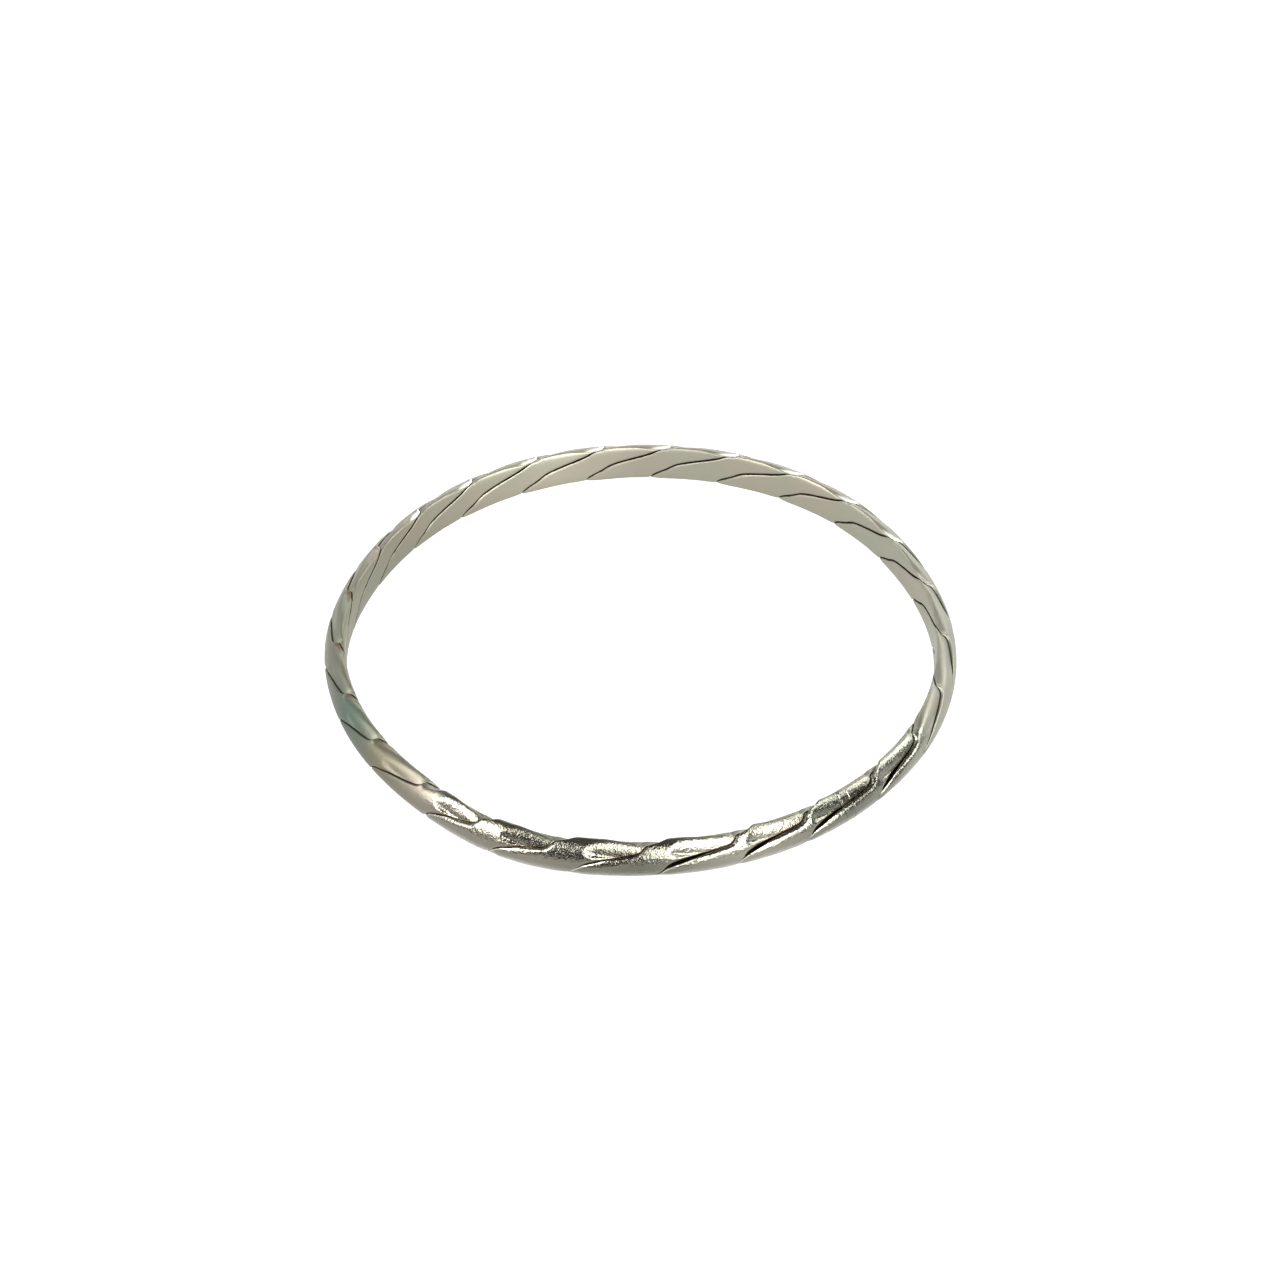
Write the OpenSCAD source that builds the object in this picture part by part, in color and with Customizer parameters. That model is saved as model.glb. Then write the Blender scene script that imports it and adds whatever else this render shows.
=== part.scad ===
// Twisted wire bangle: three silver wires laid up into a rope, rolled and hammered to a
// flattened band, closed to a ring and soldered. The ring lies on its side: its axis is +Z,
// z = 0 is the surface it rests on, and azimuth 270 is the side towards the viewer.

/* [Ring] */
// Clear width of the wrist opening
inner_d = 63.5; // [50:0.5:80]
// Thickness of the flattened rope, from its wrist side to its outer side
band_t = 2.4; // [2:0.1:3.6]
// Height of the flattened rope, along the wrist
band_h = 4.6; // [3.6:0.1:6]

/* [Twist] */
// Number of seams that cross the top edge, all the way round
seam_count = 25; // [16:1:34]
// Azimuth of the first seam that crosses the top edge
first_seam_azimuth = 171.5; // [0:0.5:360]
// Clearance between neighbouring wires, all along their seams
wire_gap = 0.08; // [0.05:0.01:0.15]

/* [Rolling] */
// Distance of the crease along the top and bottom edges from the wrist side
crease_in = 0.5; // [0.3:0.05:0.9]
// Squareness of the domed outer side: 2 is an oval, and lower is leaner at the creases
outer_square = 1.7; // [1.5:0.05:2.6]
// Squareness of the wrist side, which the mandrel pressed flat
wrist_square = 3; // [2.2:0.1:5]
// Azimuth of the middle of the front stretch, which was rolled less
front_azimuth = 281; // [0:1:360]
// Angle from the middle of the front stretch to each of its ends
front_reach = 50; // [20:1:90]
// Angle over which the front stretch fades into the rest
front_fade = 12; // [4:1:30]

/* [Grooves] */
// Depth of a seam on the flattened faces
face_groove = 0.14; // [0.05:0.01:0.3]
// Width of a wire's rounded shoulder beside a seam on the flattened faces
face_shoulder = 0.4; // [0.2:0.05:0.8]
// Depth of a seam on the top edge
top_groove = 0.38; // [0.2:0.01:0.7]
// Depth of a seam on the bottom edge
bottom_groove = 0.25; // [0.1:0.01:0.6]
// Width of the shoulder on the wire that comes up beside a seam near the top or bottom edge
crossing_shoulder = 0.5; // [0.3:0.05:0.8]
// Width of the shoulder on the wire that dives over the edge there, at its tip
diving_shoulder = 1.4; // [1:0.05:2.4]
// Depth of a seam on the outer side along the front, on the wire above it
front_groove = 0.42; // [0.1:0.01:0.5]
// Width of that wire's rounded shoulder
front_shoulder = 0.7; // [0.4:0.05:1.5]
// Depth of a seam on the outer side along the front, on the wire below it
front_lip = 0.3; // [0.1:0.01:0.4]
// Width of the slope up from that wire's lip
front_lip_slope = 1.2; // [0.4:0.05:1.5]
// Depth of a seam on the top edge along the front
front_top_groove = 0.75; // [0.2:0.01:0.9]
// Depth of a seam on the bottom edge along the front
front_bottom_groove = 0.1; // [0.05:0.01:0.4]
// Width of the shoulder on a wire that comes up along the front
front_crossing_shoulder = 1.2; // [0.4:0.05:1.5]
// Width of the shoulder on a wire that dives from the outer side along the front
front_diving_shoulder = 2.4; // [1:0.05:3]
// Width of the shoulder on a wire that dives to the wrist side along the front
front_wrist_shoulder = 0.7; // [0.5:0.05:1.5]
// Width to which the seams stand open on the outer side along the front
open_seam = 0.45; // [0:0.05:0.6]
// Azimuth at which the seams begin to stand open
open_azimuth = 268; // [232:1:300]

/* [Solder joint] */
// Azimuth of the joint that closes the ring
joint_azimuth = 309; // [300:1:315]
// Length of the soldered stretch
joint_len = 1; // [0.6:0.1:2]
// Share of a seam's depth that the solder leaves open
joint_groove_share = 0.9; // [0.3:0.05:1]

/* [Hidden] */

wire_count = 3;
seam_rings = 8;         // rings of each wire between two seams
arc_steps = 10;         // facets across each wire's visible side
silver = [0.75, 0.74, 0.71];
solder = [0.68, 0.68, 0.65];

half_t = band_t / 2;
half_h = band_h / 2;
crease_x = crease_in - half_t;
mid_r = inner_d / 2 + half_t;
seam_step = 360 / seam_count;

// Where each seam crosses the top edge. The twist isn't even, so each row shifts it.
// Columns: share of the circle from the first seam, shift as a share of the even step.
uneven_twist = [
    [0.00, -0.17], [0.04, -0.16], [0.08, -0.10], [0.12, -0.08], [0.16, -0.12], [0.20, -0.10],
    [0.24, -0.06], [0.28, -0.04], [0.32, -0.01], [0.36, 0.02], [0.40, 0.02], [0.44, 0.02],
    [0.48, -0.01], [0.52, -0.03], [0.56, 0.02], [0.60, 0.07], [0.64, -0.03], [0.68, 0.03],
    [0.72, -0.10], [0.76, -0.21], [0.80, -0.19], [0.84, -0.12], [0.88, -0.16], [0.92, -0.11],
    [0.96, -0.12], [1.00, -0.17]
];

// The ring was closed by hand and isn't a true circle. Each row moves it in or out.
// Columns: share of the circle from azimuth 0, shift outwards as a share of the band's thickness.
hand_bends = [
    [0.0000, 0.06], [0.0625, -0.05], [0.1250, 0.03], [0.1875, -0.01], [0.2500, -0.13],
    [0.3125, -0.12], [0.3750, -0.12], [0.4375, -0.09], [0.5000, 0.06], [0.5625, -0.04],
    [0.6250, -0.08], [0.6875, 0.21], [0.7500, 0.04], [0.8125, -0.01], [0.8750, 0.00],
    [0.9375, 0.08], [1.0000, 0.06]
];

// How a seam runs round the band's section, from the middle of the wrist side over the top
// edge (90), down the outer side (0) and under the bottom edge (-90).
// Columns: turns of the rope since the seam crossed the top edge, angle round the section.
path_start = -0.285;
seam_path = [
    [-0.285, 180], [-0.2, 163], [-0.12, 149], [-0.07, 137], [-0.03, 118], [0, 90],
    [0.02, 66], [0.07, 52], [0.15, 35], [0.23, 14], [0.28, -4], [0.31, -33],
    [0.335, -58], [0.46, -88], [0.57, -116], [0.593, -138], [0.66, -160], [0.715, -180]
];

// Along the front the twist was drawn unevenly, so the seams run early or late across the
// outer side. Columns: share of the circle from azimuth 0, lateness in turns of the rope.
late_seams = [
    [0.00, 0.00], [0.60, 0.00], [0.6875, -0.05], [0.75, -0.04], [0.8125, 0.05],
    [0.875, 0.07], [0.9375, 0.04], [1.00, 0.00]
];

// Turns in which a seam crosses the outer side, from edge to edge
outer_turns = 0.46;

// Where the faces pass into the top and bottom edges, as sines of the angle round the
// section: up to the first it is still all face, and from the second on all edge. The last
// pair holds for the wrist side along the front.
outer_edge = [0.4, 0.8];
wrist_edge = [0.75, 0.97];
front_wrist_edge = [0.5, 0.8];

// Range of a seam angle's cosine over which the dive passes from one wire to the other
dive_turn = 0.6;

// Stretch over which the seams open, and where round the section they stand open:
// the middle, the end of the widest part and the end of the gap
open_fade = 8;
open_middle = 0;
open_full = 25;
open_end = 60;

// Value that lies a share of the way from low to high
function between(low, high, share) = low + (high - low) * share;

// 0 below x = 0, 1 above x = 1, and a smooth rise between them
function ease(x) = let (t = min(1, max(0, x))) t * t * (3 - 2 * t);

// The row of a table that starts the stretch holding x
function row_of(x, table, row = 0) =
    row >= len(table) - 2 || x < table[row + 1][0] ? row : row_of(x, table, row + 1);

// Step of one column of a table, from a row to the next
function step_of(table, row, column) = table[row + 1][column] - table[row][column];

// Slope of the smooth curve at a row. Each table closes on itself: its last row is its first.
function slope_of(table, row) =
    let (last = len(table) - 2, before = row == 0 ? last : row - 1, after = row > last ? 0 : row)
    (step_of(table, before, 1) + step_of(table, after, 1))
    / (step_of(table, before, 0) + step_of(table, after, 0));

// Smooth curve through the rows of a table, at x
function curve(x, table) =
    let (
        row = row_of(x, table), low = table[row], high = table[row + 1],
        run = high[0] - low[0], t = (x - low[0]) / run
    )
    low[1] * (1 + 2 * t) * (1 - t) * (1 - t) + high[1] * t * t * (3 - 2 * t)
    + run * t * (1 - t) * (slope_of(table, row) * (1 - t) - slope_of(table, row + 1) * t);

// Azimuth of the section that lies this many seams after the first one
function azimuth(seams) =
    let (share = seams / seam_count, part = share - floor(share))
    first_seam_azimuth - seam_step * (seams - curve(part, uneven_twist));

// The same, the other way round: how many seams after the first one a section lies
// that is this many degrees past the first seam's azimuth
function seams_after(degrees, low = 0, high = seam_count, tries = 24) =
    let (middle = (low + high) / 2)
    tries == 0 ? middle
    : first_seam_azimuth - azimuth(middle) < degrees ? seams_after(degrees, middle, high, tries - 1)
    : seams_after(degrees, low, middle, tries - 1);

// How late a seam runs, this many turns after it crossed the top edge and at an azimuth:
// nothing at either edge, and the table's whole lateness halfway across the outer side
function lateness(turns, around) =
    let (share = around / 360, t = min(1, max(0, turns / outer_turns)))
    curve(share - floor(share), late_seams) * 16 * t * t * (1 - t) * (1 - t);

// Angle round the section of a seam, this many turns after it crossed the top edge
function seam_angle(turns, around) =
    let (whole = floor(turns - path_start), part = turns - whole)
    curve(part - lateness(part, around), seam_path) - 360 * whole;

// Angle from one direction to another, between -180 and 180
function turned_from(angle, start) = ((angle - start) % 360 + 540) % 360 - 180;

// 1 along the front of the ring, 0 round the rest
function front(angle) =
    ease((front_reach - abs(turned_from(angle, front_azimuth))) / front_fade + 0.5);

// Point of the rolled outline: x from the rope's axis outwards, y upwards. The outer side
// is a dome from crease to crease, and the wrist side is nearly flat.
function outline(angle) =
    let (
        c = cos(angle), s = sin(angle), n = c > 0 ? outer_square : wrist_square,
        depth = c > 0 ? band_t - crease_in : crease_in,
        reach = 1 / pow(pow(abs(c), n) + pow(abs(s), n), 1 / n)
    )
    [crease_x + depth * c * reach, half_h * s * reach];

// Length of the rolled outline for each degree, near an angle
function outline_pace(angle) = norm(outline(angle + 1) - outline(angle - 1)) / 2;

// 1 where an angle round the section is on the top or bottom edge, 0 on either face
function edge_share(angle, front_share) =
    let (
        wrist = between(wrist_edge, front_wrist_edge, front_share),
        edge = cos(angle) > 0 ? outer_edge : wrist
    )
    ease((abs(sin(angle)) - edge[0]) / (edge[1] - edge[0]));

// 1 for the wire that dives over the edge beside a seam, 0 for the wire that comes up there.
// side is 1 for the wire on the side of higher angles, and -1 for the other.
function dive(seam, side) = ease(0.5 + side * cos(seam) * sign(sin(seam)) / dive_turn);

// How deep a point lies below the outline, at this angle round the section and distance from
// a seam: a rounded corner on the faces, or a fuller slope on the edges where the wire dives.
// The front's deeper groove on the faces counts on the outer side only.
function sunk(angle, distance, seam, side, front_share) =
    let (
        edge = edge_share(angle, front_share), dives = dive(seam, side),
        outer_front = cos(angle) > 0 ? front_share : 0,
        front_depth = side > 0 ? front_groove : front_lip,
        face_depth = between(face_groove, front_depth, outer_front),
        top_depth = between(top_groove, front_top_groove, front_share),
        bottom_depth = between(bottom_groove, front_bottom_groove, front_share),
        depth = between(face_depth, sin(angle) > 0 ? top_depth : bottom_depth, edge),
        front_width = side > 0 ? front_shoulder : front_lip_slope,
        face_width = between(face_shoulder, front_width, outer_front),
        seam_outer = ease(0.5 + cos(seam) / dive_turn),
        front_diving = between(front_wrist_shoulder, front_diving_shoulder, seam_outer),
        diving_width = between(diving_shoulder, front_diving, front_share),
        crossing_width = between(crossing_shoulder, front_crossing_shoulder, front_share),
        width = between(face_width, between(crossing_width, diving_width, dives), edge),
        away = min(1, distance / width),
        corner = (1 - away) * (1 - away),
        slope = (1 - away * away) * (1 - away * away)
    )
    depth * between(corner, slope, dives * edge);

// How far a seam stands open at the surface, at an angle round the section and an azimuth
function seam_opening(angle, around) =
    open_seam * front(around) * ease(turned_from(around, open_azimuth) / open_fade + 0.5)
    * ease((open_end - abs(turned_from(angle, open_middle))) / (open_end - open_full));

// Visible side of one wire in a section: its outline points from one seam to the next.
// gap is the clearance to the next wire, or 0 where the wires are soldered and no seam
// stands open. depth_share scales the grooves.
function wire_arc(wire, seams, gap, depth_share) =
    let (
        around = azimuth(seams), front_share = front(around),
        seam_a = seam_angle((seams - wire - 1) / wire_count, around),
        seam_b = seam_angle((seams - wire) / wire_count, around),
        spread = gap > 0 ? 1 : 0,
        half_a = (gap + spread * seam_opening(seam_a, around)) / 2,
        half_b = (gap + spread * seam_opening(seam_b, around)) / 2,
        end_a = seam_a - half_a / outline_pace(seam_a),
        end_b = seam_b + half_b / outline_pace(seam_b),
        corner_a = outline(end_a), corner_b = outline(end_b)
    )
    [for (i = [0:arc_steps])
        let (
            angle = between(end_a, end_b, (1 - cos(180 * i / arc_steps)) / 2),
            point = outline(angle),
            inset_a = sunk(angle, norm(point - corner_a), seam_a, -1, front_share),
            inset_b = sunk(angle, norm(point - corner_b), seam_b, 1, front_share),
            inset = depth_share * max(inset_a, inset_b)
        )
        point * (1 - inset / norm(point))];

// A wire's whole section: its visible side, closed at the rope's axis
function wire_section(wire, seams) =
    let (
        arc = wire_arc(wire, seams, wire_gap, 1),
        way = arc[0] / norm(arc[0]) + arc[arc_steps] / norm(arc[arc_steps]),
        turned = arc[arc_steps / 2] * way >= 0 ? way : -way,
        half_angle = acos(min(1, norm(way) / 2))
    )
    concat([turned / norm(turned) * wire_gap / 2 / max(0.5, sin(half_angle))], arc);

// The soldered section: the visible sides of all the wires, run together
function soldered_section(seams) =
    [for (wire = [wire_count - 1:-1:0])
        let (arc = wire_arc(wire, seams, 0, joint_groove_share))
        for (i = [0:arc_steps - 1]) arc[i]];

// Sets a section's points in the ring, at its azimuth
function placed(section, seams) =
    let (
        angle = azimuth(seams), share = angle / 360,
        r = mid_r + band_t * curve(share - floor(share), hand_bends)
    )
    [for (p = section) [(r + p[0]) * cos(angle), (r + p[0]) * sin(angle), half_h + p[1]]];

// Solid through a list of sections with the same number of points each. Each end is closed
// by a fan from its first point. turned is the side whose four-cornered facets are split
// along their other diagonal, so that two wires match where they face each other.
module swept(sections, turned = -1) {
    count = len(sections[0]);
    last = (len(sections) - 1) * count;
    walls = [for (start = [0:count:last - count], i = [0:count - 1])
        let (a = start + i, b = start + (i + 1) % count)
        each i == turned ? [[a, b, b + count], [a, b + count, a + count]]
            : [[a, b, a + count], [b, b + count, a + count]]];
    ends = [for (i = [1:count - 2])
        each [[0, i + 1, i], [last, last + i, last + i + 1]]];
    all_points = [for (section = sections) each section];
    polyhedron(points = all_points, faces = concat(walls, ends), convexity = 10);
}

joint_seams = seams_after((first_seam_azimuth - joint_azimuth + 720) % 360);
seams_per_mm = seam_count / (2 * PI * mid_r);
wire_start = joint_seams + (joint_len / 2 + wire_gap) * seams_per_mm;
wire_end = joint_seams + seam_count - (joint_len / 2 + wire_gap) * seams_per_mm;
wire_rings = round((wire_end - wire_start) * seam_rings);

module wire(number) {
    swept([for (k = [0:wire_rings])
        let (seams = between(wire_start, wire_end, k / wire_rings))
        placed(wire_section(number, seams), seams)], 0);
}

module first_wire() {
    color(silver) wire(0);
}

module second_wire() {
    color(silver) wire(1);
}

module third_wire() {
    color(silver) wire(2);
}

module solder_joint() {
    half = joint_len / 2 * seams_per_mm;
    color(solder) swept([for (k = [-1:1])
        let (seams = joint_seams + k * half)
        placed(soldered_section(seams), seams)]);
}

first_wire();
second_wire();
third_wire();
solder_joint();
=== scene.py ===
# %% [markdown]
# # A twisted wire bangle
#
# The real bangle is three silver wires laid up into a rope. The rope was rolled and hammered
# to a flattened band, bent round a mandrel and soldered shut. This notebook dresses its
# engineering model: each wire is made again as a fine surface, and given the finish of worn
# silver. All places are in metres, in the frame of the engineering model, and all sizes of
# the bangle itself are written in millimetres, as a silversmith would.

# %% Load the frame
import math

import bmesh
import bpy
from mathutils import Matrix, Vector, noise


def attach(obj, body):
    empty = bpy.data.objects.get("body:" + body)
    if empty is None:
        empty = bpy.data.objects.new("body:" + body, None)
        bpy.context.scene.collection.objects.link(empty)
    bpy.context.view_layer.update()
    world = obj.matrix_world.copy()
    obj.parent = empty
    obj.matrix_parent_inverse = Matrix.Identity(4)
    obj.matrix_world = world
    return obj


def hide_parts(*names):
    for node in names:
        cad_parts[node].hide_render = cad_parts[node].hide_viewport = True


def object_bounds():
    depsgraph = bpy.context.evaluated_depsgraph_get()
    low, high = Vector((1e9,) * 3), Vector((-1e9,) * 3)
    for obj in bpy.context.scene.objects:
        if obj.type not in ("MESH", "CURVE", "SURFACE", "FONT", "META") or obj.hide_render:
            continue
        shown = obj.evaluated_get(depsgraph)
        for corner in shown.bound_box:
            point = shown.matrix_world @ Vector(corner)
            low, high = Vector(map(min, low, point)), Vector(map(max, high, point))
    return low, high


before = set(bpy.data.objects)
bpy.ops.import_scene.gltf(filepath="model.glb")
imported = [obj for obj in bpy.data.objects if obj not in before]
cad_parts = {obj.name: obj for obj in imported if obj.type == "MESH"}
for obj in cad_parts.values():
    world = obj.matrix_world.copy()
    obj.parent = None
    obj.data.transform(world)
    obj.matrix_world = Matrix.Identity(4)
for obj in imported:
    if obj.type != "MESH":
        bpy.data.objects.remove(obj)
cad_low, cad_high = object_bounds()
MM = 0.001
print("engineering model, in mm:", [round(side / MM, 2) for side in cad_high - cad_low])

# %% [markdown]
# ## The camera
#
# A camera placed by its elevation and distance is easy to check against a photograph: the
# ring's round shape shows as an oval, and the oval's height gives the elevation. A long lens
# set well back keeps the near and far side of the ring at nearly the same scale.

# %% Place the camera
VIEW_ELEVATION = 41.51
VIEW_DISTANCE = 307.35 * MM
AIM = Vector((-0.04, 1.31, 1.48)) * MM
LENS = 79.0
SENSOR = 36

tilt = math.radians(VIEW_ELEVATION)
camera = bpy.data.objects.new("camera", bpy.data.cameras.new("camera"))
camera.data.lens = LENS
camera.data.sensor_width = SENSOR
camera.data.clip_start = 1 * MM
camera.location = AIM + VIEW_DISTANCE * Vector((0, -math.cos(tilt), math.sin(tilt)))
camera.rotation_euler = (math.radians(90) - tilt, 0, 0)
bpy.context.collection.objects.link(camera)
bpy.context.scene.camera = camera
print("camera at", [round(x / MM, 1) for x in camera.location], "mm")

# %% [markdown]
# ## The measures of the rope
#
# The wires of a rolled rope are not round any more, so a bevelled curve would not do. What
# stays simple is the rope as a whole: its outline is nearly flat towards the wrist and a
# dome on the outside, with a crease where they meet, and the three seams between the wires
# wander round it once per turn of the twist. These are the same driving sizes and short
# tables as in the engineering model.

# %% Ring, twist and rolling
INNER_D = 63.5
BAND_T = 2.4
BAND_H = (cad_high.z - cad_low.z) / MM
SEAM_COUNT = 25
FIRST_SEAM_AZIMUTH = 171.5
WIRE_COUNT = 3
CREASE_IN = 0.5
OUTER_SQUARE = 1.7
WRIST_SQUARE = 3.0
FRONT_AZIMUTH = 281
FRONT_REACH = 50
FRONT_FADE = 12

HALF_T = BAND_T / 2
HALF_H = BAND_H / 2
CREASE_X = CREASE_IN - HALF_T
MID_R = INNER_D / 2 + HALF_T
SEAM_STEP = 360 / SEAM_COUNT

# share of the circle from the first seam, shift as a share of the even step
UNEVEN_TWIST = [
    (0.00, -0.17), (0.04, -0.16), (0.08, -0.10), (0.12, -0.08), (0.16, -0.12), (0.20, -0.10),
    (0.24, -0.06), (0.28, -0.04), (0.32, -0.01), (0.36, 0.02), (0.40, 0.02), (0.44, 0.02),
    (0.48, -0.01), (0.52, -0.03), (0.56, 0.02), (0.60, 0.07), (0.64, -0.03), (0.68, 0.03),
    (0.72, -0.10), (0.76, -0.21), (0.80, -0.19), (0.84, -0.12), (0.88, -0.16), (0.92, -0.11),
    (0.96, -0.12), (1.00, -0.17),
]
# share of the circle from azimuth 0, shift outwards as a share of the band's thickness
HAND_BENDS = [
    (0.0000, 0.06), (0.0625, -0.05), (0.1250, 0.03), (0.1875, -0.01), (0.2500, -0.13),
    (0.3125, -0.12), (0.3750, -0.12), (0.4375, -0.09), (0.5000, 0.06), (0.5625, -0.04),
    (0.6250, -0.08), (0.6875, 0.21), (0.7500, 0.04), (0.8125, -0.01), (0.8750, 0.00),
    (0.9375, 0.08), (1.0000, 0.06),
]
# turns of the rope since the seam crossed the top edge, angle round the section
SEAM_PATH = [
    (-0.285, 180), (-0.2, 163), (-0.12, 149), (-0.07, 137), (-0.03, 118), (0, 90),
    (0.02, 66), (0.07, 52), (0.15, 35), (0.23, 14), (0.28, -4), (0.31, -33),
    (0.335, -58), (0.46, -88), (0.57, -116), (0.593, -138), (0.66, -160), (0.715, -180),
]
# share of the circle from azimuth 0, how late a seam runs there in turns of the rope
LATE_SEAMS = [
    (0.00, 0.00), (0.60, 0.00), (0.6875, -0.05), (0.75, -0.04), (0.8125, 0.05),
    (0.875, 0.07), (0.9375, 0.04), (1.00, 0.00),
]
OUTER_TURNS = 0.46
print("the rope turns", round(SEAM_COUNT / WIRE_COUNT, 2), "times on its way round")

# %% [markdown]
# Not every row was picked by hand. The bends of the ring were worked out by a fitting script
# from the band's outline. The seams were marked, their places round the ring were computed
# and then corrected. A table gives only these few rows. A smooth curve through them says what
# happens between, so the seams wander without a kink.

# %% Curves through the tables
def ease(x):
    t = min(1, max(0, x))
    return t * t * (3 - 2 * t)


def between(low, high, share):
    return low + (high - low) * share


def slope_at(table, row):
    last = len(table) - 2
    before = last if row == 0 else row - 1
    after = 0 if row > last else row
    rise = table[before + 1][1] - table[before][1] + table[after + 1][1] - table[after][1]
    run = table[before + 1][0] - table[before][0] + table[after + 1][0] - table[after][0]
    return rise / run


def curve(x, table):
    row = max(i for i in range(len(table) - 1) if i == 0 or table[i][0] <= x)
    (x0, y0), (x1, y1) = table[row], table[row + 1]
    run = x1 - x0
    t = (x - x0) / run
    slopes = slope_at(table, row) * (1 - t) - slope_at(table, row + 1) * t
    return y0 * (1 + 2 * t) * (1 - t) ** 2 + y1 * t * t * (3 - 2 * t) + run * t * (1 - t) * slopes


def azimuth(seams):
    """Azimuth of the section that lies this many seams after the first one"""
    share = seams / SEAM_COUNT
    return FIRST_SEAM_AZIMUTH - SEAM_STEP * (seams - curve(share % 1, UNEVEN_TWIST))


HALVINGS = 40


def seams_after(degrees):
    """How many seams after the first one a section lies that many degrees past it"""
    low, high = 0, SEAM_COUNT
    for _ in range(HALVINGS):
        middle = (low + high) / 2
        if FIRST_SEAM_AZIMUTH - azimuth(middle) < degrees:
            low = middle
        else:
            high = middle
    return middle


def seam_angle(turns, around):
    """Angle round the section of a seam, this many turns after it crossed the top edge"""
    whole = math.floor(turns - SEAM_PATH[0][0])
    part = turns - whole
    t = min(1, max(0, part / OUTER_TURNS))
    # full lateness half-way over the outer side, none at its top and bottom edge
    late = curve(around / 360 % 1, LATE_SEAMS) * (4 * t * (1 - t)) ** 2
    return curve(part - late, SEAM_PATH) - 360 * whole


def turned_from(angle, start):
    """Angle from one direction to another, between -180 and 180"""
    return (angle - start + 180) % 360 - 180


def front(angle):
    """1 along the front of the ring, where the rope was rolled less, and 0 round the rest"""
    return ease((FRONT_REACH - abs(turned_from(angle, FRONT_AZIMUTH))) / FRONT_FADE + 0.5)


print("seam azimuths:", [round(azimuth(k) % 360) for k in range(SEAM_COUNT)])

# %% [markdown]
# ## The rolled section
#
# The mandrel left the wires nearly flat on the wrist side, and rolling left the outer side
# a low dome. At the edges each wire ends in a long soft tip where it dives over the edge,
# beside the next wire, which comes up steeply. So each seam has two shoulders of its own.

# %% Outline and shoulders
# depth of the grooves and width of the shoulders beside a seam
FACE_GROOVE, FACE_SHOULDER = 0.14, 0.4
TOP_GROOVE, BOTTOM_GROOVE = 0.38, 0.25
CROSSING_SHOULDER, DIVING_SHOULDER = 0.5, 1.4
FRONT_GROOVE, FRONT_SHOULDER = 0.42, 0.7
FRONT_LIP, FRONT_LIP_SLOPE = 0.3, 1.2
FRONT_TOP_GROOVE, FRONT_BOTTOM_GROOVE = 0.75, 0.1
FRONT_CROSSING_SHOULDER, FRONT_DIVING_SHOULDER, FRONT_WRIST_SHOULDER = 1.2, 2.4, 0.7
LIP_DEPTH, LIP_WIDTH = 0.05, 0.14
# sine of the angle round the section, where an edge's grooves begin and where they are full
OUTER_EDGE, WRIST_EDGE, FRONT_WRIST_EDGE = (0.4, 0.8), (0.75, 0.97), (0.5, 0.8)
# how far a seam goes round before its shoulders have changed over
DIVE_TURN = 0.6
# opening of the seams, with the cosines, azimuths and angles where it begins and ends
TIGHT_SEAM = 0.05
WRIST_SEAM, WRIST_SEAM_START, WRIST_SEAM_FADE = 0.12, 0.4, 0.5
OPEN_SEAM, OPEN_AZIMUTH, OPEN_FADE = 0.45, 268, 8
OPEN_MIDDLE, OPEN_FULL, OPEN_END = 0, 25, 60


def outline(angle):
    """Point of the rolled outline: x from the rope's axis outwards, y upwards"""
    c, s = math.cos(math.radians(angle)), math.sin(math.radians(angle))
    n, depth = (OUTER_SQUARE, BAND_T - CREASE_IN) if c > 0 else (WRIST_SQUARE, CREASE_IN)
    reach = (abs(c) ** n + abs(s) ** n) ** (-1 / n)
    return CREASE_X + depth * c * reach, HALF_H * s * reach


def gap(p, q):
    return math.hypot(p[0] - q[0], p[1] - q[1])


def outline_pace(angle):
    """Length of the outline for each degree, near an angle"""
    return gap(outline(angle + 1), outline(angle - 1)) / 2


def sunk(angle, distance, seam, side, front_share):
    """How deep a point lies below the outline, at this angle and distance from a seam"""
    c, s = math.cos(math.radians(angle)), math.sin(math.radians(angle))
    seam_c, seam_s = math.cos(math.radians(seam)), math.sin(math.radians(seam))
    wrist_edge = [between(*ends, front_share) for ends in zip(WRIST_EDGE, FRONT_WRIST_EDGE)]
    start, end = OUTER_EDGE if c > 0 else wrist_edge
    edge = ease((abs(s) - start) / (end - start))
    dives = ease(0.5 + side * seam_c * seam_s / DIVE_TURN)
    outer_front = front_share if c > 0 else 0
    face_depth = between(FACE_GROOVE, FRONT_GROOVE if side > 0 else FRONT_LIP, outer_front)
    top_depth = between(TOP_GROOVE, FRONT_TOP_GROOVE, front_share)
    bottom_depth = between(BOTTOM_GROOVE, FRONT_BOTTOM_GROOVE, front_share)
    depth = between(face_depth, top_depth if s > 0 else bottom_depth, edge)
    front_width = FRONT_SHOULDER if side > 0 else FRONT_LIP_SLOPE
    face_width = between(FACE_SHOULDER, front_width, outer_front)
    seam_outer = ease(0.5 + seam_c / DIVE_TURN)
    front_diving = between(FRONT_WRIST_SHOULDER, FRONT_DIVING_SHOULDER, seam_outer)
    diving_width = between(DIVING_SHOULDER, front_diving, front_share)
    crossing_width = between(CROSSING_SHOULDER, FRONT_CROSSING_SHOULDER, front_share)
    width = between(face_width, between(crossing_width, diving_width, dives), edge)
    away = min(1, distance / width)
    corner, slope = (1 - away) ** 2, (1 - away * away) ** 2
    lip = max(0, 1 - distance / LIP_WIDTH) ** 2
    return depth * between(corner, slope, dives * edge) + LIP_DEPTH * lip


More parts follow.
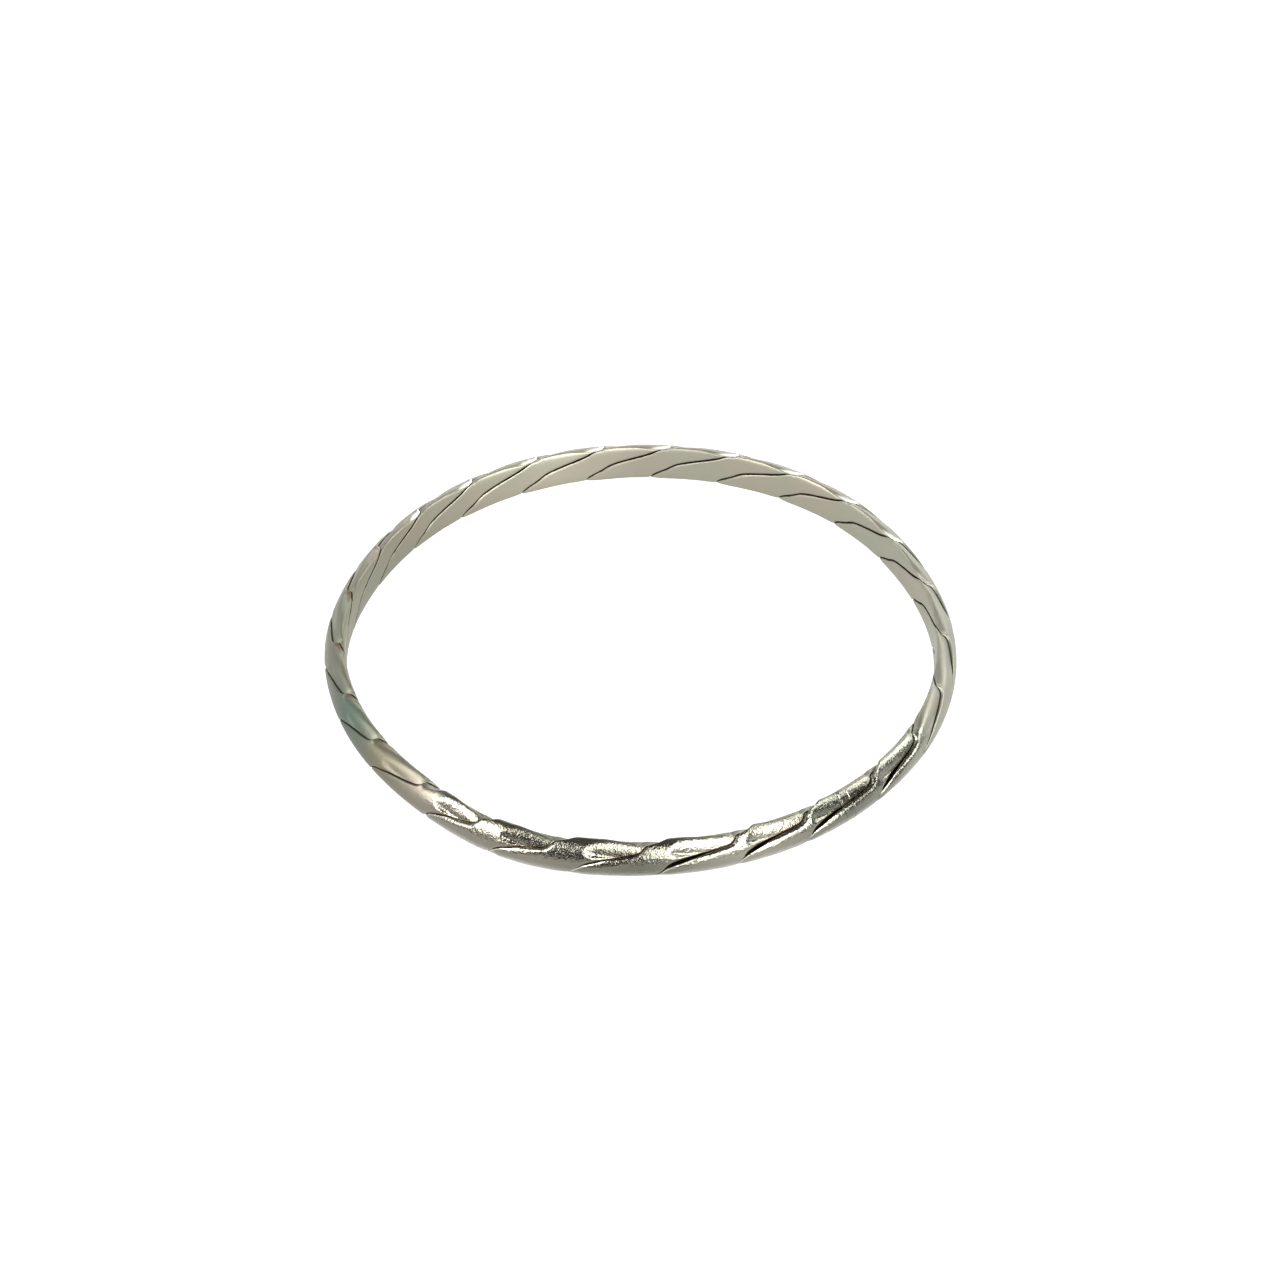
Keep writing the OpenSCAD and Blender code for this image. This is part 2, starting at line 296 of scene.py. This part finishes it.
def seam_opening(angle, around):
    """How far a seam stands open: widest on the outer side along the front"""
    along = front(around) * ease(turned_from(around, OPEN_AZIMUTH) / OPEN_FADE + 0.5)
    away = abs(turned_from(angle, OPEN_MIDDLE))
    wristwards = -math.cos(math.radians(angle))
    worn = WRIST_SEAM * ease((wristwards - WRIST_SEAM_START) / WRIST_SEAM_FADE)
    return worn + OPEN_SEAM * along * ease((OPEN_END - away) / (OPEN_END - OPEN_FULL))


print("outline at the top:", [round(x, 2) for x in outline(90)], "mm")

# %% [markdown]
# ## One section of a wire
#
# The section is walked round in one go: up one hidden flank from the rope's axis, along the
# visible arc from seam to seam, and back down the other flank. Along with its place, each
# point keeps its distance from the nearest seam, its angle round the section and which side
# of that seam its wire lies on, because the finish needs them later.

# %% Walk round a wire's section
ARC_SPOTS = 48
FLANK_SPOTS = 6
LEAST_SINE = 0.5


def wire_arc(wire, seams, opening, depth_share=1.0):
    """Points of the visible arc, each with its distance from a seam, its angle round the
    section, and 1 where the wire lies above that seam on the outer side, or else 0. Arcs
    with no opening meet, and the strip that would stand open counts as the seam itself."""
    around = azimuth(seams)
    front_share = front(around)
    seam_a = seam_angle((seams - wire - 1) / WIRE_COUNT, around)
    seam_b = seam_angle((seams - wire) / WIRE_COUNT, around)
    open_a, open_b = seam_opening(seam_a, around) / 2, seam_opening(seam_b, around) / 2
    spread = float(opening > 0)
    end_a = seam_a - (opening / 2 + open_a * spread) / outline_pace(seam_a)
    end_b = seam_b + (opening / 2 + open_b * spread) / outline_pace(seam_b)
    filled_a, filled_b = open_a * (1 - spread), open_b * (1 - spread)
    corner_a, corner_b = outline(end_a), outline(end_b)
    arc = []
    for i in range(ARC_SPOTS + 1):
        share = (1 - math.cos(math.pi * i / ARC_SPOTS)) / 2
        angle = between(end_a, end_b, share)
        x, y = outline(angle)
        from_a = max(0, gap((x, y), corner_a) - filled_a)
        from_b = max(0, gap((x, y), corner_b) - filled_b)
        inset = depth_share * max(
            sunk(angle, from_a, seam_a, -1, front_share), sunk(angle, from_b, seam_b, 1, front_share))
        keep = 1 - inset / math.hypot(x, y)
        arc.append((x * keep, y * keep, min(from_a, from_b), angle, float(from_b < from_a)))
    return arc


def flank(axis, corner, toward_axis):
    """Points of a hidden flank between the rope's axis and the arc's corner, ends left out.
    Their distance from the seam is their depth in it, as a negative number."""
    shares = [(i + 1) / FLANK_SPOTS for i in range(FLANK_SPOTS - 1)]
    if toward_axis:
        shares.reverse()
    return [
        (between(axis[0], corner[0], k), between(axis[1], corner[1], k), (k - 1) * HALF_T, *corner[3:])
        for k in shares
    ]


def wire_section(wire, seams):
    """A wire's whole section: its axis point, one flank, the arc and the other flank. The
    axis point stands off the rope's axis, the further the slimmer the wire is there."""
    arc = wire_arc(wire, seams, TIGHT_SEAM)
    ways = [Vector(end[:2]).normalized() for end in (arc[0], arc[-1])]
    way = ways[0] + ways[1]
    if way.dot(Vector(arc[ARC_SPOTS // 2][:2])) < 0:
        way = -way
    half_angle = math.acos(min(1, way.length / 2))
    axis = way.normalized() * TIGHT_SEAM / 2 / max(LEAST_SINE, math.sin(half_angle))
    return [(axis.x, axis.y, -HALF_T, *arc[0][3:])] + flank(axis, arc[0], False) + arc \
        + flank(axis, arc[-1], True)


SECTION_SPOTS = len(wire_section(0, 0))
print("a section has", SECTION_SPOTS, "points")

# %% [markdown]
# ## Dents left by the hammer
#
# A rolled and hammered wire is never quite flat. Low, broad dents move the surface by a few
# hundredths of a millimetre, which the eye can't see as a shape but reads at once in the
# highlights. They are real relief here, from a smooth noise that is the same on each run.

# %% Relief of the hammered surface
# width and depth of the dents
BROAD_DENT, BROAD_DEPTH = 2.6, 0.010
FRONT_DENT, FRONT_DEPTH = 1.1, 0.022
FRONT_DENT_SHIFT = Vector((7, 3, 5))


def relief(place, front_share):
    """How far the surface stands out at a place"""
    broad = noise.noise(place / BROAD_DENT) * BROAD_DEPTH
    close = noise.noise(place / FRONT_DENT + FRONT_DENT_SHIFT) * FRONT_DEPTH
    return broad + close * front_share


print("dents are up to", BROAD_DEPTH + FRONT_DEPTH, "mm deep")

# %% [markdown]
# ## What the finish needs to know
#
# A noise on Object coordinates doesn't know where a seam runs, but tarnish, painted shade
# and painted highlights do. So each point of the metal keeps a few marks, which the silver
# reads later as attributes: how far the nearest seam is, whether the wire lies above it,
# whether the point is on the wrist side, along the front, or on the tip where a wire dives
# over the top edge, and where it is round the ring. Painting a texture by hand would do the
# same, but would not follow a change of the twist.

# %% Marks on the metal
MARKS = ("seam", "above", "wrist", "front", "around", "tip")
# cosine of the angle round the section where the finish of the wrist side and of the front start
WRIST_FINISH_START, FRONT_FINISH_START = 0.5, -0.6
# length of a tip, sine where the top edge starts, and the azimuths that have such tips
TIP_LENGTH = 0.8
TIP_EDGE, TIP_EDGE_FADE = 0.9, 0.06
TIP_AZIMUTH, TIP_REACH, TIP_FADE = 118, 102, 10


def tip(angle, from_seam, above, around):
    """1 on the last bit of a wire that dives over the top edge, at the back and the left; the finish
    lays a painted highlight there at the back
    """
    on_edge = ease((math.sin(math.radians(angle)) - TIP_EDGE) / TIP_EDGE_FADE)
    along = ease((TIP_REACH - abs(turned_from(around, TIP_AZIMUTH))) / TIP_FADE + 0.5)
    return (1 - above) * on_edge * along * ease(2 - 2 * from_seam / TIP_LENGTH)


def in_ring(point, seams):
    """Sets a section's point in the ring, at its azimuth"""
    angle = azimuth(seams)
    r = MID_R + BAND_T * curve(angle / 360 % 1, HAND_BENDS) + point[0]
    a = math.radians(angle)
    return Vector((r * math.cos(a), r * math.sin(a), HALF_H + point[1]))


def marked(points, seams):
    """Places a section in the ring and keeps what the finish needs of each point"""
    around = azimuth(seams) % 360
    front_share = front(around)
    spots = []
    for x, y, from_seam, angle, above in points:
        outer = math.cos(math.radians(angle))
        front_here = front_share * ease(outer - FRONT_FINISH_START)
        place = in_ring((x, y), seams)
        if from_seam >= 0:
            push = relief(place, front_here) / math.hypot(x, y)
            place = in_ring((x * (1 + push), y * (1 + push)), seams)
        spots.append({
            "place": place, "seam": from_seam, "above": above,
            "wrist": ease(WRIST_FINISH_START - outer), "front": front_here,
            "around": around / 360, "tip": tip(angle, from_seam, above, around),
        })
    return spots


print("each point keeps", MARKS)

# %% [markdown]
# ## Bending a sheet into a wire
#
# The wires' section changes all the way round, so a curve with one bevel can't make them.
# The quickest way to a long, curved tube of our own section is a grid: one direction runs
# round the section, the other along the wire. Each point of the flat grid is carried to its
# place on the ring, the grid's two long borders meet and are merged, and the two open ends
# are filled. The grid has its own texture coordinates, which then run along the wire.

# %% Sweep a tube
MERGE_DISTANCE = 0.0001


def swept(name, section_at, start, end, rings, spots):
    """A tube through sections of equally many spots, from one place on the rope to another"""
    bm = bmesh.new()
    marks = {key: bm.verts.layers.float.new(key) for key in MARKS}
    uv = bm.loops.layers.uv.new("along")
    bmesh.ops.create_grid(bm, x_segments=rings, y_segments=spots, size=0.5)
    for loop in (loop for face in bm.faces for loop in face.loops):
        loop[uv].uv = (loop.vert.co.x + 0.5, loop.vert.co.y + 0.5)
    sections = {}
    for vert in bm.verts:
        ring = round((vert.co.x + 0.5) * rings)
        if ring not in sections:
            sections[ring] = section_at(between(start, end, ring / rings))
        spot = sections[ring][round((vert.co.y + 0.5) * spots) % spots]
        vert.co = spot["place"] * MM
        for key, layer in marks.items():
            vert[layer] = spot[key]
    bmesh.ops.remove_doubles(bm, verts=bm.verts, dist=MERGE_DISTANCE * MM)
    bmesh.ops.holes_fill(bm, edges=[edge for edge in bm.edges if edge.is_boundary], sides=0)
    bmesh.ops.recalc_face_normals(bm, faces=bm.faces)
    for face in bm.faces:
        face.smooth = len(face.verts) == 4
    mesh = bpy.data.meshes.new(name)
    bm.to_mesh(mesh)
    bm.free()
    piece = bpy.data.objects.new(name, mesh)
    bpy.context.collection.objects.link(piece)
    print(name, "has", len(mesh.polygons), "faces")
    return piece


print("a tube's borders are merged within", MERGE_DISTANCE, "mm")

# %% [markdown]
# ## The three wires
#
# Each wire starts at one side of the solder joint and ends at its other side, once round
# the ring. The three differ only in where they lie round the rope. Seen close, a wire's end
# and the joint leave a hair's breadth between them, so that no faces lie in each other.

# %% Make the wires
RINGS_PER_SEAM = 56
WIRE_NODES = ("first_wire", "second_wire", "third_wire")
JOINT_AZIMUTH = 309
JOINT_LEN = 1.0
END_GAP = 0.004
SEAMS_PER_MM = SEAM_COUNT / (2 * math.pi * MID_R)
joint_seams = seams_after((FIRST_SEAM_AZIMUTH - JOINT_AZIMUTH) % 360)

wires = []
for number, node in enumerate(WIRE_NODES):
    wires.append(swept(
        node.replace("wire", "silver_wire"),
        lambda seams, wire=number: marked(wire_section(wire, seams), seams),
        joint_seams + (JOINT_LEN / 2 + END_GAP) * SEAMS_PER_MM,
        joint_seams + SEAM_COUNT - (JOINT_LEN / 2 + END_GAP) * SEAMS_PER_MM,
        SEAM_COUNT * RINGS_PER_SEAM, SECTION_SPOTS,
    ))
    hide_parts(node)

# %% [markdown]
# ## The solder joint
#
# The rope's two ends were butted and fused. Solder runs into the seams there and softens
# them, and a file took off what stood proud, so for a millimetre the three wires are one
# piece of metal. The same sweep makes it, through the visible arcs of all three wires.

# %% Make the joint
JOINT_GROOVE_SHARE = 0.9
JOINT_RINGS = 16
half_joint = JOINT_LEN / 2 * SEAMS_PER_MM


def joint_section(seams):
    inwards = 1 - abs(seams - joint_seams) / half_joint
    depth_share = between(1, JOINT_GROOVE_SHARE, ease(2 * inwards))
    points = []
    for wire in reversed(range(WIRE_COUNT)):
        points += wire_arc(wire, seams, 0, depth_share)[:-1]
    return marked(points, seams)


joint = swept("silver_solder_joint", joint_section, joint_seams - half_joint,
              joint_seams + half_joint, JOINT_RINGS, WIRE_COUNT * ARC_SPOTS)
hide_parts("solder_joint")

# %% [markdown]
# ## Building materials out of nodes
#
# Two helpers are enough: one turns a hex colour, as a colour picker gives it, into the
# linear values that Blender computes with, and one adds a node with its settings and links.

# %% Helpers for materials
def colour(hex_code):
    shares = [int(hex_code[i:i + 2], 16) / 255 for i in (1, 3, 5)]
    linear = [s / 12.92 if s <= 0.04045 else ((s + 0.055) / 1.055) ** 2.4 for s in shares]
    return (*linear, 1)


def add_node(tree, kind, settings=None, inputs=None, stops=()):
    """Adds a node. Inputs are values or other nodes' outputs, by the input's name or number."""
    node = tree.nodes.new(kind)
    for key, value in (settings or {}).items():
        setattr(node, key, value)
    for key, value in (inputs or {}).items():
        if isinstance(value, bpy.types.NodeSocket):
            tree.links.new(value, node.inputs[key])
        else:
            node.inputs[key].default_value = value
    for _ in stops[2:]:
        node.color_ramp.elements.new(1)
    for element, (position, hex_code) in zip(node.color_ramp.elements if stops else (), stops):
        element.position = position
        element.color = colour(hex_code)
    return node


def new_material(name):
    material = bpy.data.materials.new(name)
    material.use_nodes = True
    material.node_tree.nodes.clear()
    return material, material.node_tree


print("a picker's middle grey has the linear value", round(colour("#808080")[0], 3))

# %% [markdown]
# ## Tones of worn silver, and painted reflections
#
# Clean silver is the whitest of metals, but this bangle has been worn and has dulled: the
# base colour is a warm grey of a middling brightness. Round the outside it changes with the
# azimuth, partly as the metal's own tone and partly as painted light: the darker bands near
# azimuths 270 and 310 are painted reflections of a dark room, and the dark green at the left
# is a painted reflection too. The wrist side has a ramp of its own, lightest at the back and
# darker towards the left. A colour ramp over the azimuth is the simplest way to lay such
# tones, and a broad, weak noise keeps them from looking painted. Where a wire dives over the
# top edge, its tip is a painted highlight, a bright sliver, at the back, and a brown spot at
# the left.

# %% Tones of the metal
# size of the patches
MOTTLE = 5.0
PER_METRE = 1 / MM

# share of the circle from azimuth 0, colour of the metal there; the dark bands at 0.75 and 0.86 and
# the dark green near 0.565 are painted reflections
OUTER_TONES_AND_REFLECTIONS = [
    (0.00, "#898B82"), (0.30, "#86847A"), (0.47, "#7F7E74"), (0.535, "#6C6E65"),
    (0.565, "#54625A"), (0.60, "#6A6558"), (0.64, "#76726A"), (0.70, "#74736A"),
    (0.75, "#5F6059"), (0.80, "#86867C"), (0.86, "#676861"), (0.93, "#8A8C82"), (1.00, "#898B82"),
]
WRIST_TONES = [
    (0.00, "#8D8E82"), (0.18, "#8E8B80"), (0.25, "#8C8A80"), (0.30, "#979689"),
    (0.36, "#8C8A7E"), (0.42, "#807F72"), (0.50, "#7A7A6D"), (1.00, "#8D8E82"),
]
# tip colours: the near white at the back is a painted highlight, the brown is at the left
TIP_HIGHLIGHT_AND_BROWN = [(0.05, "#F2F2EA"), (0.41, "#F2F2EA"), (0.44, "#6B5F50"), (0.62, "#6B5F50")]
MOTTLE_TINTS = [(0.35, "#F5F8F2"), (0.5, "#F8F6F2"), (0.65, "#FCF5F1")]


def tone_with_painted_light(tree, place, marks, brightness):
    """Colour of the metal by azimuth and side with its painted reflections, its mottle, and the tips
    of the wires with their painted highlight at the back
    """
    outer_tone_and_reflection = add_node(tree, "ShaderNodeValToRGB", {}, {"Fac": marks["around"]}, OUTER_TONES_AND_REFLECTIONS)
    wrist_tone = add_node(tree, "ShaderNodeValToRGB", {}, {"Fac": marks["around"]}, WRIST_TONES)
    tip_highlight_and_brown = add_node(tree, "ShaderNodeValToRGB", {}, {"Fac": marks["around"]}, TIP_HIGHLIGHT_AND_BROWN)
    mottle = add_node(tree, "ShaderNodeTexNoise", {}, {
        "Vector": place, "Scale": PER_METRE / MOTTLE, "Detail": 3.0, "Roughness": 0.5,
    })
    tint = add_node(tree, "ShaderNodeValToRGB", {}, {"Fac": mottle.outputs["Fac"]}, MOTTLE_TINTS)
    sides = add_node(tree, "ShaderNodeMix", {"data_type": "RGBA"}, {
        0: marks["wrist"], 6: outer_tone_and_reflection.outputs["Color"], 7: wrist_tone.outputs["Color"],
    })
    tinted = add_node(tree, "ShaderNodeMix", {"data_type": "RGBA", "blend_type": "MULTIPLY"}, {
        0: 1.0, 6: sides.outputs[2], 7: tint.outputs["Color"],
    })
    toned = add_node(tree, "ShaderNodeMix", {"data_type": "RGBA", "blend_type": "MULTIPLY"}, {
        0: 1.0, 6: tinted.outputs[2], 7: (brightness, brightness, brightness, 1),
    })
    tipped = add_node(tree, "ShaderNodeMix", {"data_type": "RGBA"}, {
        0: marks["tip"], 6: toned.outputs[2], 7: tip_highlight_and_brown.outputs["Color"],
    })
    return tipped.outputs[2]


print(len(OUTER_TONES_AND_REFLECTIONS), "tones outside,", len(WRIST_TONES), "on the wrist side")

# %% [markdown]
# ## Tarnish, painted shade and painted highlights
#
# Tarnish stays where nothing rubs it off. It is black-brown in the seams, with an edge that
# the pits of the metal fray. Along the front the wire above a seam gets a brown band of
# painted shade, and the wire below gets a painted highlight along its corner. All three are
# bands beside a seam, so one helper makes them from the distance that each point keeps.

# %% Bands beside the seams
# distances from a seam, in mm, where each band is still full and where it has ended
TARNISH_BAND = (0.09, 0.16)
# band of painted shade, in brown, on the wire above a seam along the front
PAINTED_SHADE_BAND = (0.14, 0.42)
# band of painted highlight, pale grey, on the corner of the wire below a seam along the front
PAINTED_HIGHLIGHT_BAND = (0.12, 0.26)
FRAY = 0.12


def beside_seam(tree, from_seam, band, shares=()):
    """1 beside a seam and 0 past the band, times other shares"""
    full, ended = band
    beside = add_node(tree, "ShaderNodeMapRange", {}, {
        "Value": from_seam, "From Min": full, "From Max": ended, "To Min": 1.0, "To Max": 0.0,
    }).outputs["Result"]
    for share in shares:
        both = add_node(tree, "ShaderNodeMath", {"operation": "MULTIPLY"}, {0: beside, 1: share})
        beside = both.outputs[0]
    return beside


def tarnished_and_painted_light(tree, tone, pits, marks):
    """The metal's colour with painted shade, painted corner highlights and tarnish, and the tarnish's
    share
    """
    below = add_node(tree, "ShaderNodeMath", {"operation": "SUBTRACT"}, {0: 1.0, 1: marks["above"]})
    frayed = add_node(tree, "ShaderNodeMath", {"operation": "MULTIPLY_ADD"}, {
        0: pits, 1: FRAY, 2: marks["seam"],
    })
    # painted shade on the wire above a seam along the front
    painted_shade = beside_seam(tree, marks["seam"], PAINTED_SHADE_BAND, [marks["front"], marks["above"]])
    # painted highlight on the corner of the wire below a seam along the front
    corner = beside_seam(tree, marks["seam"], PAINTED_HIGHLIGHT_BAND, [marks["front"], below.outputs[0]])
    tarnish = beside_seam(tree, frayed.outputs[0], TARNISH_BAND)
    # painted shade, painted highlight and tarnish, laid in that order
    for share, hex_code in ((painted_shade, "#62594B"), (corner, "#B4B3A6"), (tarnish, "#2A241B")):
        layer = add_node(tree, "ShaderNodeMix", {"data_type": "RGBA"}, {
            0: share, 6: tone, 7: colour(hex_code),
        })
        tone = layer.outputs[2]
    return tone, tarnish


print("tarnish ends", TARNISH_BAND[1], "mm from a seam, less what the pits fray")

# %% [markdown]
# ## Rolled and hammered sterling silver
#
# The sides were rolled smooth and rubbed to an even satin. Along the front the hammer left a
# grainy surface that breaks a highlight into bright specks: a fine grain and broader pits,
# both made as a bump. The real grain is finer than a pixel here, so it is drawn coarse
# enough to show. Tarnish is always matt. The filed solder is the same metal to the eye, only
# a little greyer.

# %% Silver
# sizes and depth of the grain and pits
GRAIN = 0.24
PITS = 0.8
GRAIN_DEPTH = 0.1
# share of the pits, and strength of the bump and roughness at the sides and along the front
PITS_SHARE = 0.7
SIDE_GRAIN, FRONT_GRAIN = 0.2, 0.6
SIDE_ROUGHNESS, FRONT_ROUGHNESS = 0.5, 0.16
TARNISH_ROUGHNESS = 0.4


def silver(name, brightness):
    material, tree = new_material(name)
    place = add_node(tree, "ShaderNodeTexCoord").outputs["Object"]
    marks = {
        key: add_node(tree, "ShaderNodeAttribute", {"attribute_name": key}).outputs["Fac"]
        for key in MARKS
    }
    grain = add_node(tree, "ShaderNodeTexNoise", {}, {
        "Vector": place, "Scale": PER_METRE / GRAIN, "Detail": 2.0, "Roughness": 0.6,
    })
    pits = add_node(tree, "ShaderNodeTexNoise", {}, {
        "Vector": place, "Scale": PER_METRE / PITS, "Detail": 3.0, "Roughness": 0.6,
    }).outputs["Fac"]
    tone, tarnish = tarnished_and_painted_light(tree, tone_with_painted_light(tree, place, marks, brightness), pits, marks)
    satin = add_node(tree, "ShaderNodeMapRange", {}, {
        "Value": marks["front"], "From Min": 0.0, "From Max": 1.0,
        "To Min": SIDE_ROUGHNESS, "To Max": FRONT_ROUGHNESS,
    })
    roughness = add_node(tree, "ShaderNodeMath", {"operation": "MULTIPLY_ADD", "use_clamp": True}, {
        0: tarnish, 1: TARNISH_ROUGHNESS, 2: satin.outputs["Result"],
    })
    grainy = add_node(tree, "ShaderNodeMapRange", {}, {
        "Value": marks["front"], "From Min": 0.0, "From Max": 1.0,
        "To Min": SIDE_GRAIN, "To Max": FRONT_GRAIN,
    })
    relief_sum = add_node(tree, "ShaderNodeMath", {"operation": "MULTIPLY_ADD"}, {
        0: pits, 1: PITS_SHARE, 2: grain.outputs["Fac"],
    })
    bump = add_node(tree, "ShaderNodeBump", {}, {
        "Strength": grainy.outputs["Result"], "Distance": GRAIN_DEPTH * MM,
        "Height": relief_sum.outputs[0],
    })
    shader = add_node(tree, "ShaderNodeBsdfPrincipled", {}, {
        "Base Color": tone, "Metallic": 1.0, "Roughness": roughness.outputs[0],
        "Normal": bump.outputs["Normal"],
    })
    add_node(tree, "ShaderNodeOutputMaterial", {}, {"Surface": shader.outputs["BSDF"]})
    return material


wire_silver = silver("rolled sterling silver", 1.0)
solder_silver = silver("filed silver solder", 0.94)

for wire in wires:
    wire.data.materials.append(wire_silver)
    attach(wire, "root")
joint.data.materials.append(solder_silver)
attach(joint, "root")
print("materials:", [material.name for material in bpy.data.materials])

# %% [markdown]
# ## The floor
#
# Silver shows its surroundings more than itself. The floor is white paper on a light table,
# which gives the flat sides their even grey and takes no shadow.

# %% Floor
FLOOR_SIZE = 3.0
TABLE_GLOW = 0.82

bm = bmesh.new()
bmesh.ops.create_grid(bm, x_segments=1, y_segments=1, size=FLOOR_SIZE / 2)
floor_mesh = bpy.data.meshes.new("floor")
bm.to_mesh(floor_mesh)
bm.free()
floor = bpy.data.objects.new("floor", floor_mesh)
bpy.context.collection.objects.link(floor)
paper, tree = new_material("white paper on a light table")
shader = add_node(tree, "ShaderNodeBsdfPrincipled", {}, {
    "Base Color": colour("#8A8A89"), "Roughness": 0.9,
    "Emission Color": colour("#FFFFFF"), "Emission Strength": TABLE_GLOW,
})
add_node(tree, "ShaderNodeOutputMaterial", {}, {"Surface": shader.outputs["BSDF"]})
floor_mesh.materials.append(paper)
print("floor of", FLOOR_SIZE, "m")

# %% [markdown]
# ## Light
#
# Large soft lights stand in a ring round the bangle, all turned to it. The two brightest,
# in front, give the bright patches along the front, and the others fill the sides and the
# back. Between them the room stays darker, which gives the wires their form. Small hard
# lamps would give points of light instead of patches.

# %% Lights
ROOM_GLOW = 0.22
LIGHT_DISTANCE = 0.7
# name, azimuth, elevation, width and height in metres, brightness of its face
SOFT_LIGHTS = [
    ("front left", 206, 36, 0.48, 0.46, 13.0),
    ("front right", 300, 34, 0.56, 0.50, 14.0),
    ("right", 12, 36, 0.34, 0.40, 8.0),
    ("left", 150, 30, 0.40, 0.50, 1.6),
    ("back", 92, 19, 0.60, 0.22, 5.0),
    ("back right", 52, 24, 0.46, 0.52, 2.2),
]


def soft_light(name, around, above, width, height, brightness):
    data = bpy.data.lights.new(name, "AREA")
    data.shape = "RECTANGLE"
    data.size, data.size_y = width, height
    data.energy = brightness * math.pi * width * height
    light = bpy.data.objects.new(name, data)
    a, e = math.radians(around), math.radians(above)
    way = Vector((math.cos(a) * math.cos(e), math.sin(a) * math.cos(e), math.sin(e)))
    light.location = way * LIGHT_DISTANCE
    light.rotation_euler = way.to_track_quat("Z", "Y").to_euler()
    bpy.context.collection.objects.link(light)


for row in SOFT_LIGHTS:
    soft_light(*row)
world = bpy.data.worlds.new("room")
world.use_nodes = True
world.node_tree.nodes["Background"].inputs["Color"].default_value = (1, 1, 1, 1)
world.node_tree.nodes["Background"].inputs["Strength"].default_value = ROOM_GLOW
bpy.context.scene.world = world
bpy.context.scene.view_settings.view_transform = "Standard"
print(len(SOFT_LIGHTS), "soft lights")
